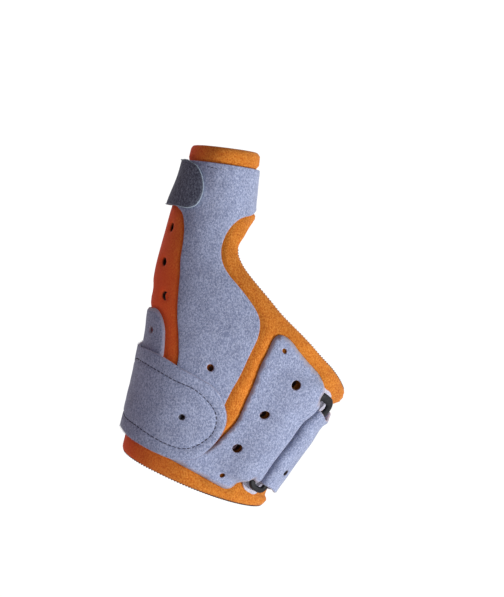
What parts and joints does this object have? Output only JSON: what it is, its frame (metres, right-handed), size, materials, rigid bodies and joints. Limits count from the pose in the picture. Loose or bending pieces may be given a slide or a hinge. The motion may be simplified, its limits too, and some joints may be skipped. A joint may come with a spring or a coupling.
{
  "type": "thumb spica splint",
  "caption": "Soft wrist and thumb splint: an orange lining in grey cloth panels, with a wrist strap through a plastic ring and a hook tab at the thumb.",
  "frame": {"origin": "centre of the wrist opening, where the splint sits on the arm that holds it up", "axes": "+Z towards the tip of the thumb, -Y the front, +X towards the fingers and the back of the hand"},
  "size_m": [0.083, 0.0614, 0.1337],
  "materials": {
    "lining_cloth": "matte orange brushed cloth",
    "panel_cloth": "matte blue-grey loop pile",
    "backing_cloth": "matte pale grey cloth",
    "ring_plastic": "satin black plastic",
    "strap_cloth": "matte blue-grey loop pile",
    "hook_tape": "matte charcoal hook tape"
  },
  "bodies": {
    "root": {"lining": "lining_cloth", "thumb_shell": "panel_cloth", "palmar_panel": "panel_cloth", "dorsal_panel": "panel_cloth", "ring_backing": "backing_cloth", "strap_ring": "ring_plastic", "wrist_strap": "strap_cloth", "thumb_tab": "hook_tape"}
  },
  "joints": []
}
